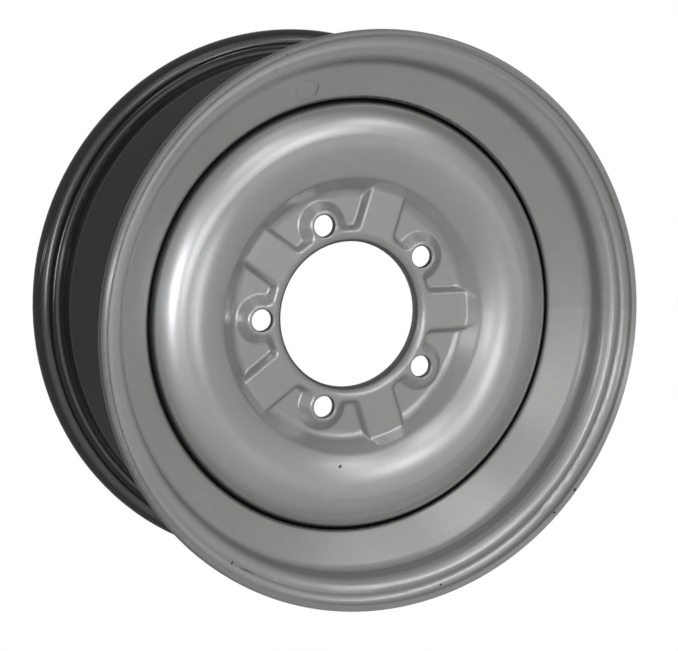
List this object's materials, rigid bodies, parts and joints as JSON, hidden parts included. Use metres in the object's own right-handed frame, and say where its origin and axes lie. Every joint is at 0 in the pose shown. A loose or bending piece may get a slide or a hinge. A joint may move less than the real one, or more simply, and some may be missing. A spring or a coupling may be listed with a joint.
{
  "type": "steel disc wheel",
  "caption": "Pressed steel disc wheel: a drop-centre rim with curled flanges, and a welded domed centre with a star of ribs and bolt bosses around a centre bore.",
  "frame": {"origin": "on the wheel's axis, in the plane of the mounting pads where the wheel meets the hub", "axes": "+Z along the wheel's axis, out of its outboard face; one bolt hole lies at 180 degrees from +X. The wheel lies on its inboard flange with its outboard face up."},
  "size_m": [0.4148, 0.4148, 0.186],
  "materials": {
    "painted_rim": "satin silver paint on the face, black gloss paint on the tyre side and back",
    "painted_disc": "satin silver paint",
    "weld": "black paint over weld metal"
  },
  "bodies": {
    "root": {"rim": "painted_rim", "disc": "painted_disc", "weld_bead_1": "weld", "weld_bead_2": "weld", "weld_bead_3": "weld", "weld_bead_4": "weld", "weld_bead_5": "weld", "weld_bead_6": "weld", "weld_bead_7": "weld", "weld_bead_8": "weld"}
  },
  "joints": []
}
